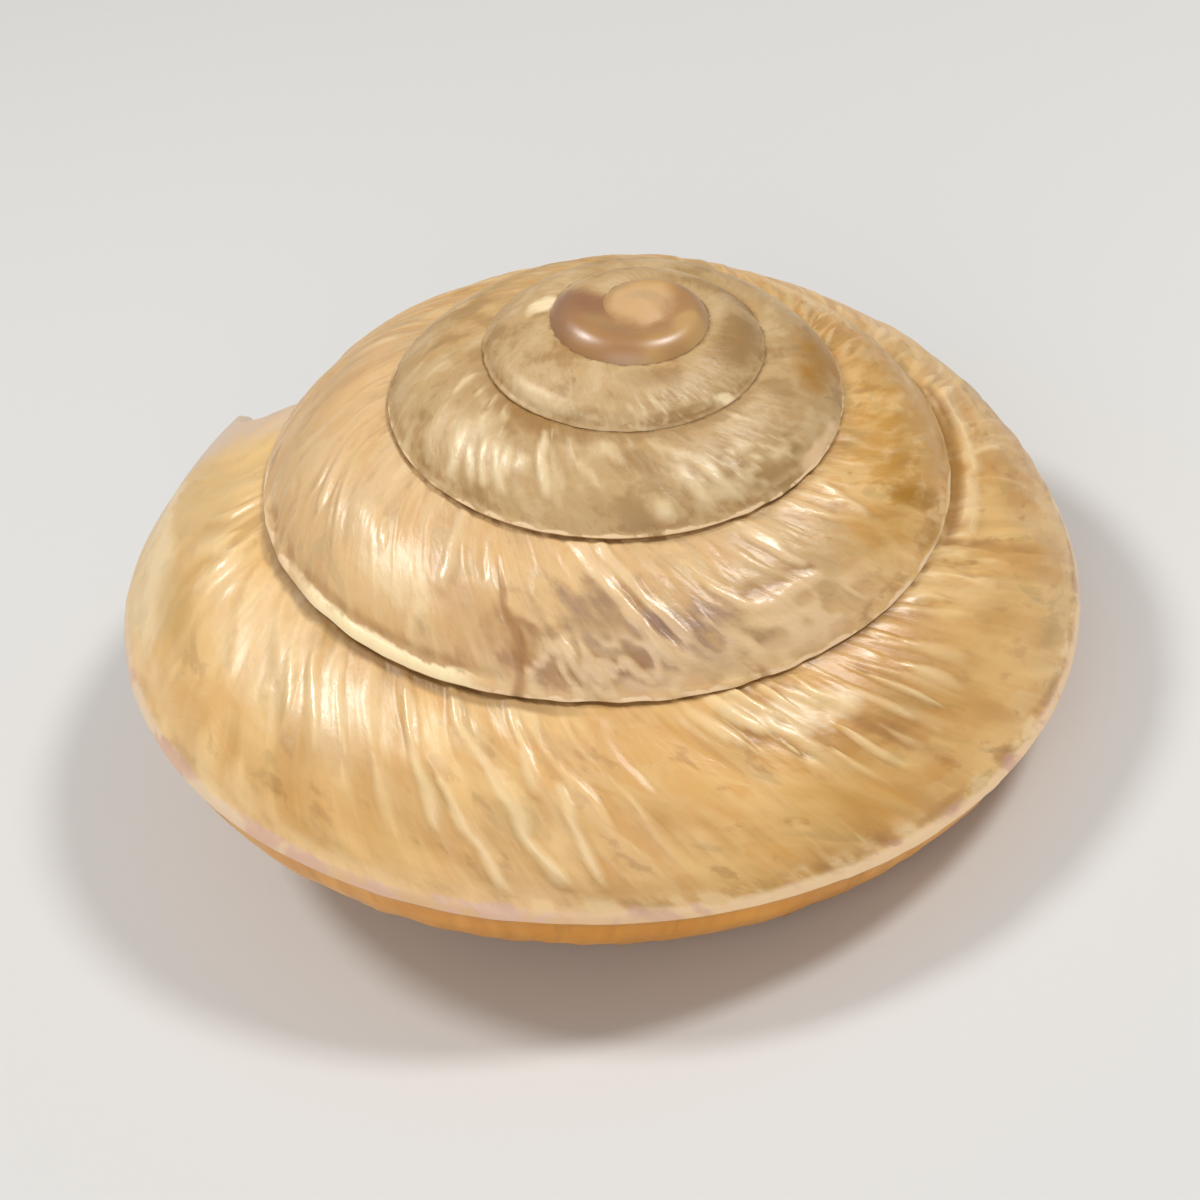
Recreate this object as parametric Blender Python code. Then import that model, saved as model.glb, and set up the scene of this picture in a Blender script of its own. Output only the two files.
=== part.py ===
"""A keeled land snail shell, lying as it comes to rest.

The shell is one hollow cone coiled on an axis, grown clockwise as seen from its apex.
It is built in its own frame first: the axis is +Z, the apex is up and the keel of the
last whorl, at the mouth, is at height 0. "Age" is measured in whorls back from the
mouth. Every whorl hangs on the one before it: its top starts just under the older keel,
its base ends on the older wall of the navel, and the wall between them is shared. The
shell is then leaned over to the way it rests and set down on z = 0.
"""
import math

import bmesh
import bpy
from mathutils import Matrix, Vector

MM = 0.001

# The spiral of the keel
KEEL_RADIUS = 8.88 * MM         # from the axis to the keel, at the mouth
GROWTH = 0.3155                 # log of the growth in the last whorl ...
EARLY_GROWTH = 0.0323           # ... and what each whorl further back adds to it
SPIRE_HEIGHT = 0.722            # rise of the keel's spiral, in keel radii
DOME = 1.5                      # 1 is a straight cone; more is a rounder spire
WHORLS = 5.55                   # from the nucleus to the mouth
MOUTH_HEADING = 157.0           # degrees round the axis, from +X

# The section of a whorl, in radii of its keel, down from the keel's crest
TOP_BULGE = 0.115               # height of the top's curve, in lengths of its chord
KEEL_CORD = 0.01                # how far the keel's cord stands out
BASE_CURVE = ((1.0 - KEEL_CORD, 0.0), (0.93, -0.235), (0.60, -0.38), (0.25, -0.235))
NAVEL_WALL = (0.215, -0.10)     # halfway up the wall of the navel
UNDER_KEEL = 0.045              # place on the base's curve where the next whorl starts
INNER_START = 0.115             # and where that whorl's inner face starts
INNER_END = 0.90                # where its inner face ends, by the navel

# The wall
WALL = 0.10 * MM                # least thickness, at the apex ...
WALL_GROWTH = 0.028             # ... and what each unit of keel radius adds
LIP_EXTRA = 0.12 * MM           # thickening of the lip
LIP_LENGTH = 0.05               # whorls over which the lip thickens
CAVITY_AGE = 4.1                # the first whorl and a half are filled

# The mouth's edge is a wave: it reaches forward at the keel and draws back at the base
MOUTH_WAVE = 6.0                # degrees round the axis
WAVE_LENGTH = 0.12              # whorls over which the wave grows
MOUTH_DIP = 0.012               # how far the keel comes down at the mouth, in keel radii
DIP_LENGTH = 0.15               # whorls

# How the shell lies
LEAN = 12.3                     # degrees from upright
LEAN_HEADING = 349.0            # degrees round the axis: the way the apex leans
WEAR = 0.12 * MM                # depth of the spots where the shell touches down

# Steps of the mesh
STEPS_PER_WHORL = 32
TOP_STEPS = 6
BASE_STEPS = 8
STEPS = round(WHORLS * STEPS_PER_WHORL)
CAVITY_START = STEPS - round(CAVITY_AGE * STEPS_PER_WHORL)

# Places along the outer section, counted from the seam with the older whorl
KEEL = TOP_STEPS
SEAM = KEEL + 1                 # hidden edge: the next whorl's top starts here
INNER_SEAM = KEEL + 2           # and its inner face here
NAVEL_SEAM = KEEL + BASE_STEPS
INNER_NAVEL_SEAM = NAVEL_SEAM - 1
LAST = NAVEL_SEAM + 2


def smooth(value):
    """Ease from 0 to 1 as value goes from 0 to 1."""
    value = min(max(value, 0.0), 1.0)
    return value * value * (3.0 - 2.0 * value)


def age_of(step):
    return (STEPS - step) / STEPS_PER_WHORL


def keel_at(age):
    """Radius and height of the keel's crest; before the nucleus it shrinks to the axis."""
    known = min(age, WHORLS)
    radius = KEEL_RADIUS * math.exp(-(GROWTH + EARLY_GROWTH * known) * known)
    dip = MOUTH_DIP * smooth(1.0 - age / DIP_LENGTH)
    height = KEEL_RADIUS * (SPIRE_HEIGHT * (1.0 - (radius / KEEL_RADIUS) ** DOME) - dip)
    before = min(max(age - WHORLS, 0.0), 1.0)
    return radius * (1.0 - before), height + 0.35 * radius * before


def bezier(points, place):
    rest = 1.0 - place
    weights = (rest ** 3, 3 * rest * rest * place, 3 * rest * place * place, place ** 3)
    return tuple(sum(w * p[axis] for w, p in zip(weights, points)) for axis in (0, 1))


def quadratic(start, corner, end, place):
    """A curve from start to end, drawn towards the corner between them."""
    rest = 1.0 - place
    return tuple(rest * rest * a + 2 * rest * place * b + place * place * c
                 for a, b, c in zip(start, corner, end))


def base_at(age, place):
    """A point of the base: place goes from 0 at the keel to 1 at the navel's edge."""
    radius, height = keel_at(age)
    across, down = bezier(BASE_CURVE, place)
    return radius * across, height + radius * down


def base_places():
    """Where the base's points lie on its curve, from the keel to the navel's edge."""
    between = BASE_STEPS - 3
    span = INNER_END - INNER_START
    inner = [INNER_START + span * i / between for i in range(between + 1)]
    return [0.0, UNDER_KEEL] + inner + [1.0]


def outer_section(age):
    """The outer section as (radius, height), from the seam to the wall of the navel."""
    seam = base_at(age + 1.0, UNDER_KEEL)
    crest = keel_at(age)
    across, rise = crest[0] - seam[0], crest[1] - seam[1]
    points = []
    for i in range(TOP_STEPS):
        along = i / TOP_STEPS
        bulge = TOP_BULGE * 4.0 * along * (1.0 - along)
        points.append((seam[0] + across * along - rise * bulge,
                       seam[1] + rise * along + across * bulge))
    points += [base_at(age, place) for place in base_places()]
    points[KEEL] = crest
    points.append((crest[0] * NAVEL_WALL[0], crest[1] + crest[0] * NAVEL_WALL[1]))
    points.append(base_at(age + 1.0, 1.0))
    return points


def wall_at(age):
    lip = smooth(1.0 - age / LIP_LENGTH)
    return WALL + WALL_GROWTH * keel_at(age)[0] + LIP_EXTRA * lip


def inner_section(age):
    """The outer section moved in by the wall, without its two ends, rounded at the keel."""
    outer = outer_section(age)
    wall = wall_at(age)
    points = []
    for before, point, after in zip(outer, outer[1:], outer[2:]):
        along = Vector((after[0] - before[0], after[1] - before[1])).normalized()
        points.append((point[0] + along.y * wall, point[1] - along.x * wall))
    first, corner, last = points[KEEL - 2], points[KEEL - 1], points[INNER_SEAM]
    for i in (1, 2, 3):
        points[KEEL - 2 + i] = quadratic(first, corner, last, i / 4)
    return points


def reach(step, place):
    """How many steps a point is set forward by the wave of the mouth."""
    share = smooth(1.0 - age_of(step) / WAVE_LENGTH)
    wave = math.sin(2.0 * math.pi * place / LAST)
    return share * wave * MOUTH_WAVE / 360.0 * STEPS_PER_WHORL


def in_space(step, radius, height):
    turn = math.radians(MOUTH_HEADING) + 2.0 * math.pi * age_of(step)
    return Vector((radius * math.cos(turn), radius * math.sin(turn), height))


def facing(place):
    """The place on the older whorl's wall that faces a place of the inner face."""
    middle = (INNER_SEAM + INNER_NAVEL_SEAM) // 2
    if place < LAST - BASE_STEPS + 2:
        return min(INNER_SEAM + place, middle)
    return max(INNER_NAVEL_SEAM - (LAST - place), middle + 1)


class Shell:
    """The grid of points of the outer and inner faces, and the faces between them."""

    def __init__(self):
        self.mesh = bmesh.new()
        self.made = {}

    def vertex(self, key, place_at):
        if key not in self.made:
            self.made[key] = self.mesh.verts.new(place_at())
        return self.made[key]

    def outer(self, step, place):
        """A vertex of the outer face; both ends of a section belong to the older whorl."""
        if step < 0:
            return self.pole(place <= SEAM)
        if place == 0:
            return self.outer(step - STEPS_PER_WHORL, SEAM)
        if place == LAST:
            return self.outer(step - STEPS_PER_WHORL, NAVEL_SEAM)

        def place_at():
            there = step + reach(step, place)
            return in_space(there, *outer_section(age_of(there))[place])
        return self.vertex(("outer", step, place), place_at)

    def inner(self, step, place):
        """A vertex of the inner face, which meets the older whorl at both ends."""
        if place == 0:
            return self.outer(step - STEPS_PER_WHORL, INNER_SEAM)
        if place == LAST:
            return self.outer(step - STEPS_PER_WHORL, INNER_NAVEL_SEAM)

        def place_at():
            there = step + reach(step, place)
            return in_space(there, *inner_section(age_of(there))[place - 1])
        return self.vertex(("inner", step, place), place_at)

    def pole(self, top):
        """The nucleus closes on the axis, above and below."""
        name = "apex" if top else "navel"
        radius, height = keel_at(WHORLS)
        level = height + 0.35 * radius if top else height - 0.30 * radius
        return self.vertex((name,), lambda: Vector((0.0, 0.0, level)))

    def face(self, *corners):
        """Add a face, leaving out corners that fall together."""
        kept = [v for i, v in enumerate(corners) if v is not corners[i - 1]]
        if len(kept) > 2:
            self.mesh.faces.new(kept)

    def add_outer_faces(self):
        """All that is outside, and the wall that the next whorl shares."""
        for step in range(-1, STEPS):
            covered = step + STEPS_PER_WHORL < STEPS
            hollow = step + STEPS_PER_WHORL >= CAVITY_START
            for place in range(LAST):
                shared = INNER_SEAM <= place < INNER_NAVEL_SEAM
                buried = SEAM <= place < NAVEL_SEAM and not (shared and hollow)
                if covered and buried:
                    continue
                self.face(self.outer(step, place), self.outer(step + 1, place),
                          self.outer(step + 1, place + 1), self.outer(step, place + 1))

    def add_inner_faces(self):
        for step in range(CAVITY_START, STEPS):
            for place in range(LAST):
                self.face(self.inner(step, place), self.inner(step, place + 1),
                          self.inner(step + 1, place + 1), self.inner(step + 1, place))

    def add_lip(self):
        """The edge of the mouth, between the outer and the inner face."""
        for place in range(LAST):
            self.face(self.outer(STEPS, place), self.inner(STEPS, place),
                      self.inner(STEPS, place + 1), self.outer(STEPS, place + 1))

    def add_cavity_end(self):
        """The flat wall where the hollow starts, between the inner face and the older whorl."""
        older = CAVITY_START - STEPS_PER_WHORL
        for place in range(LAST):
            self.face(self.inner(CAVITY_START, place + 1), self.inner(CAVITY_START, place),
                      self.outer(older, facing(place)), self.outer(older, facing(place + 1)))


def rest(mesh):
    """Lean the shell over, wear its contact spots flat and set it down at the origin."""
    heading = math.radians(LEAN_HEADING)
    axis = Vector((-math.sin(heading), math.cos(heading), 0.0))
    bmesh.ops.rotate(mesh, verts=mesh.verts, matrix=Matrix.Rotation(math.radians(LEAN), 3, axis))
    floor = min(v.co.z for v in mesh.verts) + WEAR
    for v in mesh.verts:
        v.co.z = max(v.co.z - floor, 0.0)
    middle = [0.5 * (min(v.co[i] for v in mesh.verts) + max(v.co[i] for v in mesh.verts))
              for i in (0, 1)]
    bmesh.ops.translate(mesh, verts=mesh.verts, vec=(-middle[0], -middle[1], 0.0))


def horn_material():
    """Straw-coloured shell with a soft shine."""
    material = bpy.data.materials.new("straw shell")
    material.use_nodes = True
    shader = material.node_tree.nodes["Principled BSDF"]
    shader.inputs["Base Color"].default_value = (0.62, 0.42, 0.20, 1.0)
    shader.inputs["Roughness"].default_value = 0.4
    shader.inputs["Metallic"].default_value = 0.0
    return material


def build_shell():
    shell = Shell()
    shell.add_outer_faces()
    shell.add_inner_faces()
    shell.add_lip()
    shell.add_cavity_end()
    bmesh.ops.triangulate(shell.mesh, faces=shell.mesh.faces)
    rest(shell.mesh)
    data = bpy.data.meshes.new("shell")
    shell.mesh.to_mesh(data)
    shell.mesh.free()
    data.shade_smooth()
    data.set_sharp_from_angle(angle=math.radians(50.0))
    data.materials.append(horn_material())
    item = bpy.data.objects.new("shell", data)
    bpy.context.scene.collection.objects.link(item)


for old in list(bpy.data.objects):
    bpy.data.objects.remove(old)
build_shell()
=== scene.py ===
# %% [markdown]
# # A keeled land snail shell
#
# This lesson gives a coiled shell its final surface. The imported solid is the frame: it has
# the right size and lies the right way, but its faces are large and its colour is plain.
# Here the same coil is drawn again, with growth wrinkles, a corded keel and scars in its
# mesh, and with a horn-like finish that is worn and stained as an old shell is.

# %% Load the frame
import math
import bpy
import numpy as np
from mathutils import Euler, Matrix, Vector, noise


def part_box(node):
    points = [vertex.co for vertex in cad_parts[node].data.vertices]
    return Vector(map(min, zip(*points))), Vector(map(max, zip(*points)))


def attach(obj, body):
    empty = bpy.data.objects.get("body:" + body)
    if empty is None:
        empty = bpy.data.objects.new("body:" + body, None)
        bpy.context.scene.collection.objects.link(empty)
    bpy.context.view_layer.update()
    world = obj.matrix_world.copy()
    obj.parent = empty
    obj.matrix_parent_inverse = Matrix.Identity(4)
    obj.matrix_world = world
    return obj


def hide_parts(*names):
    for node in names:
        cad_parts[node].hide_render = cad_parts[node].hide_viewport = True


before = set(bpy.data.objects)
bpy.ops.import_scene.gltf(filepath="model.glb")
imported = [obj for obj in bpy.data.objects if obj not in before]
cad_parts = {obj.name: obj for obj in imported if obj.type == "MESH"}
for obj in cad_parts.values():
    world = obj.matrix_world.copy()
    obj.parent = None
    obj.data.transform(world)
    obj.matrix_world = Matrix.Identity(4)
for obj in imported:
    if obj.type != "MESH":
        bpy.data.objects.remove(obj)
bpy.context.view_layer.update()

# %% [markdown]
# ## The coil
#
# A snail adds shell at the edge of its mouth, so its shell is one tube that grows as it
# turns round an axis. Every place on it can be named by two numbers. The first is its age,
# in turns back from the mouth. The second is its place across the tube: 0 at the seam
# with the older turn, 1 on the keel, 2 at the edge of the navel and 3 at the next seam.
# The keel's own path comes first, and everything else hangs on it.

# %% The path of the keel
MM = 0.001
KEEL_RADIUS = 8.88 * MM        # from the axis to the keel, at the mouth
GROWTH = 0.3155                # log of the growth in the last turn ...
EARLY_GROWTH = 0.0323          # ... and what each turn further back adds to it
SPIRE_HEIGHT = 0.722           # rise of the spire, in keel radii
DOME = 1.5                     # 1 is a straight cone; more is a rounder spire
TURNS = 5.55                   # from the nucleus to the mouth
MOUTH_HEADING = 157.0          # degrees round the axis, from +X
MOUTH_DIP = 0.012              # the keel comes down a little at the mouth ...
DIP_LENGTH = 0.15              # ... over this part of a turn
KEEL_LIFT = 0.024              # it stands a little higher in the middle of the last turn ...
LIFT_AGE = 0.31                # ... at this age ...
LIFT_LENGTH = 0.24             # ... and so many turns to each side of it
TIP_RISE = 0.017               # the tip stands a little higher than the rest of the dome ...
TIP_START = 2.6                # ... from this age on ...
TIP_LENGTH = 2.2               # ... over so many turns, ...
TIP_ABOVE = 0.0065             # ... and ends this much above the solid's, in keel radii
EMBRYO_TAPER = 0.26            # the embryo's coil winds in faster by this share ...
EMBRYO_START = 4.3             # ... over the turn that starts here
NUCLEUS_RISE = 0.012           # how much the nucleus domes up, in keel radii


def smooth(value):
    """Ease from 0 to 1 as value goes from 0 to 1."""
    value = np.clip(value, 0.0, 1.0)
    return value * value * (3.0 - 2.0 * value)


def at(value, table):
    """Read a table of pairs, with straight lines between them."""
    return np.interp(value, *zip(*table))


def heading(age):
    """The angle round the axis, in radians from +X."""
    return np.radians(MOUTH_HEADING) + 2.0 * np.pi * age


def keel_at(age):
    """Radius and height of the keel. Before the nucleus it winds in to the axis."""
    known = np.minimum(age, TURNS)
    radius = KEEL_RADIUS * np.exp(-(GROWTH + EARLY_GROWTH * known) * known)
    rise = TIP_RISE * smooth((age - TIP_START) / TIP_LENGTH)
    rise = rise + KEEL_LIFT * smooth(1.0 - np.abs(age - LIFT_AGE) / LIFT_LENGTH)
    rise = rise - MOUTH_DIP * smooth(1.0 - age / DIP_LENGTH)
    height = KEEL_RADIUS * (SPIRE_HEIGHT * (1.0 - (radius / KEEL_RADIUS) ** DOME) + rise)
    radius = radius * (1.0 - EMBRYO_TAPER * smooth(known - EMBRYO_START))
    before = np.clip(age - TURNS, 0.0, 1.0)
    return radius * (1.0 - before), height + NUCLEUS_RISE * KEEL_RADIUS * before


print("keel radius at each turn, in mm:", (keel_at(np.arange(6.0))[0] / MM).round(2))

# %% [markdown]
# ## The section of the tube
#
# Cut through the axis, the tube shows a low arched top, a sharp keel with a rounded cord,
# and a fuller base that turns up into the navel. The top starts just under the cord of
# the older turn, which is what makes the thin line of the suture. In some parts that step
# is worn or grown over, and so it is closed there by a share that depends on the age. The
# section is written as formulas of age and place, so that numpy can work out all of its
# points at once.

# %% The section
KEEL = 1.0
NAVEL_EDGE = 2.0
NAVEL_SEAM = 3.0
TOP_BULGE = 0.115              # height of the top's arch, in lengths of its chord
EMBRYO_BULGE = 0.105           # what the embryo's rounder turns add to it
EMBRYO_AGE = 4.00              # the embryo's shell ends here ...
EMBRYO_BLEND = 0.4             # ... and its section changes over this part of a turn
NUCLEUS_BULGE = 0.01           # the nucleus is almost flat ...
NUCLEUS_START = 4.7            # ... from here on
ARCH_START = 0.25              # the embryo's arch starts steep, and bends down from here
ARCH_SCALE = 7.0
STEP_END = 0.1                 # the step under the keel ends here on the base
CLOSED = ((0.92, 0.0), (1.00, 0.50), (1.10, 0.50), (1.15, 0.30), (1.22, 0.35), (1.28, 0.62),
          (1.40, 0.65), (1.47, 0.85), (1.64, 0.85), (1.90, 0.30), (2.90, 0.20), (3.12, 0.45),
          (3.28, 0.90), (4.60, 0.90), (4.90, 0.97))    # share of the step, at each age
BASE_CURVE = ((0.99, 0.0), (0.955, -0.245), (0.60, -0.38), (0.25, -0.235))
NAVEL_WALL = (0.215, -0.10)    # halfway up the wall of the navel
UNDER_KEEL = 1.045             # the next turn's top starts here


def base_at(age, along):
    """A point of the base: along goes from 0 at the keel to 1 at the navel."""
    radius, height = keel_at(age)
    along = along * np.where(along < STEP_END, 1.0 - at(age, CLOSED), 1.0)
    rest = 1.0 - along
    weights = (rest ** 3, 3 * rest * rest * along, 3 * rest * along * along, along ** 3)
    across = sum(w * p[0] for w, p in zip(weights, BASE_CURVE))
    down = sum(w * p[1] for w, p in zip(weights, BASE_CURVE))
    nose = 1.0 - BASE_CURVE[0][0]
    across = across + nose * np.clip(1.0 - along / (UNDER_KEEL - KEEL), 0.0, 1.0) ** 2
    return radius * across, height + radius * down


def top_at(age, along):
    """A point of the top: along goes from 0 at the seam to 1 on the keel."""
    seam_radius, seam_height = base_at(age + 1.0, np.full_like(age, UNDER_KEEL - KEEL))
    radius, height = keel_at(age)
    across, rise = radius - seam_radius, height - seam_height
    embryo = smooth((age - EMBRYO_AGE) / EMBRYO_BLEND + 0.5)
    flat = smooth((age - NUCLEUS_START) / EMBRYO_BLEND)
    bulge = TOP_BULGE + EMBRYO_BULGE * embryo
    bulge = bulge + (NUCLEUS_BULGE - bulge) * flat
    even = 4.0 * along * (1.0 - along)
    bent = np.maximum(along - ARCH_START, 0.0) / (1.0 - ARCH_START)
    low = ARCH_SCALE * (along * along - bent * bent)
    arch = bulge * (even + (low - even) * embryo)
    return (seam_radius + across * along - rise * arch,
            seam_height + rise * along + across * arch)


def navel_at(age, along):
    """A point of the navel's wall: along goes from 0 at its edge to 1 at the next seam."""
    radius, height = keel_at(age)
    edge = base_at(age, np.ones_like(age))
    seam = base_at(age + 1.0, np.ones_like(age))
    middle = (radius * NAVEL_WALL[0], height + radius * NAVEL_WALL[1])
    rest = 1.0 - along
    return tuple(a * rest * rest + (4.0 * m - a - b) * rest * along + b * along * along
                 for a, m, b in zip(edge, middle, seam))


def section(age, place):
    """Radius and height of the smooth outer face."""
    top = top_at(age, np.clip(place, 0.0, 1.0))
    base = base_at(age, np.clip(place - KEEL, 0.0, 1.0))
    navel = navel_at(age, np.clip(place - NAVEL_EDGE, 0.0, 1.0))
    return tuple(np.where(place < KEEL, t, np.where(place < NAVEL_EDGE, b, n))
                 for t, b, n in zip(top, base, navel))


print("height of the coil, in mm:", round((keel_at(TURNS)[1] - keel_at(0.0)[1]) / MM, 2))

# %% [markdown]
# ## Growth lines
#
# The mouth's edge isn't straight: it trails at the keel. Every wrinkle on the shell is an
# old mouth edge, so all of them slant the same way. The columns of the mesh follow these
# lines, and so a wrinkle runs along a column and never steps across the grid. At the mouth
# itself the columns straighten until they match the solid's lip, which waves in and out,
# and near the seam its edge is cut back a little.

# %% The slant of the growth lines
PER_TURN = 896                 # columns of the mesh in one turn
TRAIL_COLUMNS = 60             # how far the keel trails behind the seam, in columns
TRAIL = TRAIL_COLUMNS / PER_TURN
TRAIL_EARLY = 0.15             # the lines lean a little more near the seam
INNER_START = 1.115            # the hollow's wall meets the older turn between these
INNER_END = 1.90
STRAIGHT_LENGTH = 0.22         # turns over which the lines straighten at the mouth
MOUTH_WAVE = 6.0 / 360.0       # wave of the mouth's edge, in turns ...
WAVE_LENGTH = 0.12             # ... and how far back it reaches
NOTCH = 0.017                  # how far the edge is cut back, in turns ...
NOTCH_FULL = 0.28              # ... from this place ...
NOTCH_START = 0.38             # ... to this one, ...
NOTCH_END = 0.72               # ... easing to nothing here
WAVE_STEPS = ((0.0, 0.0), (KEEL, 6.0), (UNDER_KEEL, 7.0), (INNER_START, 8.0),
              (INNER_END, 13.0), (NAVEL_EDGE, 14.0), (NAVEL_SEAM, 16.0))


def age_of(line, place):
    """The true age at a place on a growth line, which is named by its age at the seam."""
    over_top = np.clip(place, 0.0, 1.0)
    over_base = smooth((place - INNER_START) / (INNER_END - INNER_START))
    trail = over_top * (1.0 + TRAIL_EARLY * (1.0 - over_top)) * (1.0 - over_base)
    wave = at(place, WAVE_STEPS) / WAVE_STEPS[-1][1]
    fading = smooth((NOTCH_END - place) / (NOTCH_END - NOTCH_START))
    notch = NOTCH * smooth(place / NOTCH_FULL) * fading
    edge = MOUTH_WAVE * np.sin(2.0 * np.pi * wave) - notch
    forward = edge * smooth(1.0 - line / WAVE_LENGTH)
    return line + TRAIL * trail * smooth(line / STRAIGHT_LENGTH) - forward


print("the keel trails by", round(360 * TRAIL, 1), "degrees")

# %% [markdown]
# ## Relief
#
# The wrinkles are real ridges, high enough to catch the light one by one, and they are of
# two kinds. Fingers are rounded bars side by side. Cell noise gives each cell a number of
# its own, so every finger gets its own width, ends and slant. Folds are finer: where a
# smooth noise crosses zero it is given a rounded bar, as wide as the wrinkles are strong
# there. Slower noise adds broad pauses in growth, dents and lumps. The keel carries a
# cord, which is chipped. All heights are in keel radii, because a small turn has small
# wrinkles, and most strengths are read from tables of pairs: an age, and a value there.

# %% Heights of the surface
RIDGES_PER_TURN = 78.0         # folds in one turn
RIDGE_HEIGHT = 0.0074          # of a finger
RIDGE_WIDTH = 0.30             # of a fold, in heights of the noise
FOLD_SHARE = 0.55              # height of a fold, in heights of a finger ...
FOLD_WORN = 0.75               # ... and how much of it the worn turns have lost
WORN_START = 1.7               # turns are worn from this age on, ...
WORN_LENGTH = 0.4              # ... fully after so much of a turn
FINGER_COUNT = (               # fingers from the mouth to each age
    (0.0, 0.0), (0.7, 56.0), (1.7, 108.0), (2.7, 148.0), (7.0, 400.0))
FINGER_PIECES = (              # places for fingers, one after the other, across a top
    (0.7, 2.4), (1.0, 1.3), (1.7, 1.3), (2.0, 1.8))
FINGER_WANDER = 1.3            # how much a row of fingers wavers
FINGER_CHANCE = (0.10, 0.80)   # share of the places filled: least, and what strength adds
FINGER_LENGTH = (0.26, 0.24)   # half of it, in places: least, and what chance adds
FINGER_WIDTH = (0.16, 0.34)    # half of it, in rows: least, and what chance adds
FINGER_SLANT = 0.10            # of its ends to the sides, in rows
PAUSES_PER_TURN = 34.0
PAUSE_HEIGHT = 0.0042
DENT_HEIGHT = 0.0040
LUMP_HEIGHT = 0.0016
LUMPY_START = 2.5              # the smaller turns are lumpier from this age on, ...
LUMPY_LENGTH = 0.5             # ... fully after so much of a turn, ...
LUMPY_MORE = 1.5               # ... by this share
SMOOTH_START = 3.7             # and towards the embryo they get smooth from here on
SMOOTH_LENGTH = 0.6
SCAR_HEIGHT = 0.0058
FACET_WIDTH = 0.16             # of the ridges round a mend, in heights of the noise
SWELL = (3.17, 0.17, 0.78, 0.24)           # age, reach, place and reach of one swelling
SWELL_HEIGHT = 0.030
CORD_WIDTH = ((0.0, 0.062), (0.8, 0.050), (1.0, 0.032), (1.12, 0.035), (1.16, 0.064),
              (1.24, 0.060), (1.30, 0.034), (4.0, 0.032))      # on the top, in places
CORD_UNDER = 0.030                                             # and on the base
CORD_HEIGHT = ((0.0, 0.0030), (0.75, 0.0032), (1.05, 0.0075), (1.14, 0.0115), (1.24, 0.0110),
               (1.28, 0.0060), (1.44, 0.0060), (1.50, 0.0035), (2.00, 0.0040),
               (2.60, 0.0048), (3.60, 0.0048), (4.0, 0.0))
CHIPPED = (                    # how deeply the cord is chipped
    (0.0, 0.25), (1.0, 0.25), (1.24, 0.3), (1.28, 1.2), (1.38, 1.2), (1.44, 0.5),
    (2.2, 0.6), (2.4, 1.2), (4.0, 1.2))
WRINKLED = (                   # how strong the wrinkles are
    (0.0, 0.0), (0.02, 0.3), (0.08, 0.7), (0.13, 1.0), (0.23, 1.0), (0.25, 0.6),
    (0.33, 0.6), (0.35, 1.0), (0.43, 1.0), (0.47, 0.7), (0.56, 0.5),
    (0.95, 0.55), (1.08, 1.0), (1.24, 1.0), (1.27, 0.35), (1.36, 0.35), (1.38, 0.9),
    (1.42, 1.0), (1.50, 0.55), (2.05, 0.40), (2.14, 1.0), (2.26, 0.9), (2.31, 0.30),
    (2.36, 0.60), (2.44, 0.5), (2.50, 0.25), (2.70, 0.12), (4.10, 0.0))
NOISES = {                     # spots along and across in one unit, and a seed
    "patches": (21.0, 2.7, 9.0),
    "wander": (11.0, 2.3, 4.0),
    "folds": (1.0, 1.5, 1.0),
    "pauses": (1.0, 0.9, 6.0),
    "broad dents": (1.6, 4.0, 7.0),
    "small dents": (5.0, 9.0, 8.0),
    "lumps": (13.0, 19.0, 3.0),
    "facets": (11.0, 14.0, 11.0),
    "long chips": (3.0, 0.0, 3.0),
    "short chips": (13.0, 0.0, 5.0),
}
ACROSS = 3.1                   # widths of a turn's top in one keel radius
TURN_LENGTH = 2.0 * math.pi * 0.85     # of the middle of a top, in keel radii


def grain(line, place):
    """Flat coordinates on the unrolled shell, in keel radii."""
    return TURN_LENGTH * line, place / ACROSS


def noisy(kind, along, across=0.0):
    """One of the noises, from about -1 to 1."""
    per_along, per_across, seed = NOISES[kind]
    return noise.noise((along * per_along, across * per_across, seed))


def bar(value, width):
    """A rounded bar with steep sides, where value crosses zero."""
    return max(0.0, 1.0 - (value / max(width, 0.01)) ** 2) ** 0.75


def fingers(across, along, strength):
    """Rounded bars side by side, each with its own width and ends.

    The rows of bars are counted by across, and the places in a row by along.
    """
    number = math.floor(across)
    shift, _, slant = noise.cell_vector((number, 0.5, 2.5))
    along = along + 5.0 * shift
    piece = math.floor(along)
    width, length, chance = noise.cell_vector((number, piece, 7.5))
    if chance > FINGER_CHANCE[0] + FINGER_CHANCE[1] * strength:
        return 0.0
    off = (along - piece - 0.5) / (FINGER_LENGTH[0] + FINGER_LENGTH[1] * length)
    taper = math.sqrt(max(0.0, 1.0 - off * off)) * (FINGER_WIDTH[0] + FINGER_WIDTH[1] * width)
    return bar(across - number - 0.5 + FINGER_SLANT * (slant - 0.5) * off, taper)


def wrinkled(line, place, age):
    """How strong the wrinkles are, from 0 to about 1. They are weaker towards the cord."""
    patchy = 0.62 + 1.5 * noisy("patches", line, place)
    low = 1.0 - 0.6 * smooth((place - 0.38) / 0.30) * (place < 1.2)
    return float(np.clip(patchy, 0.0, 1.1) * low * at(age, WRINKLED))


def cord_at(age, place):
    """The rounded cord along the keel, before it is chipped."""
    if place < KEEL:
        off = (KEEL - place) / at(age, CORD_WIDTH)
    else:
        off = (place - KEEL) / CORD_UNDER
    return at(age, CORD_HEIGHT) * math.sqrt(max(0.0, 1.0 - off * off))


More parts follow.
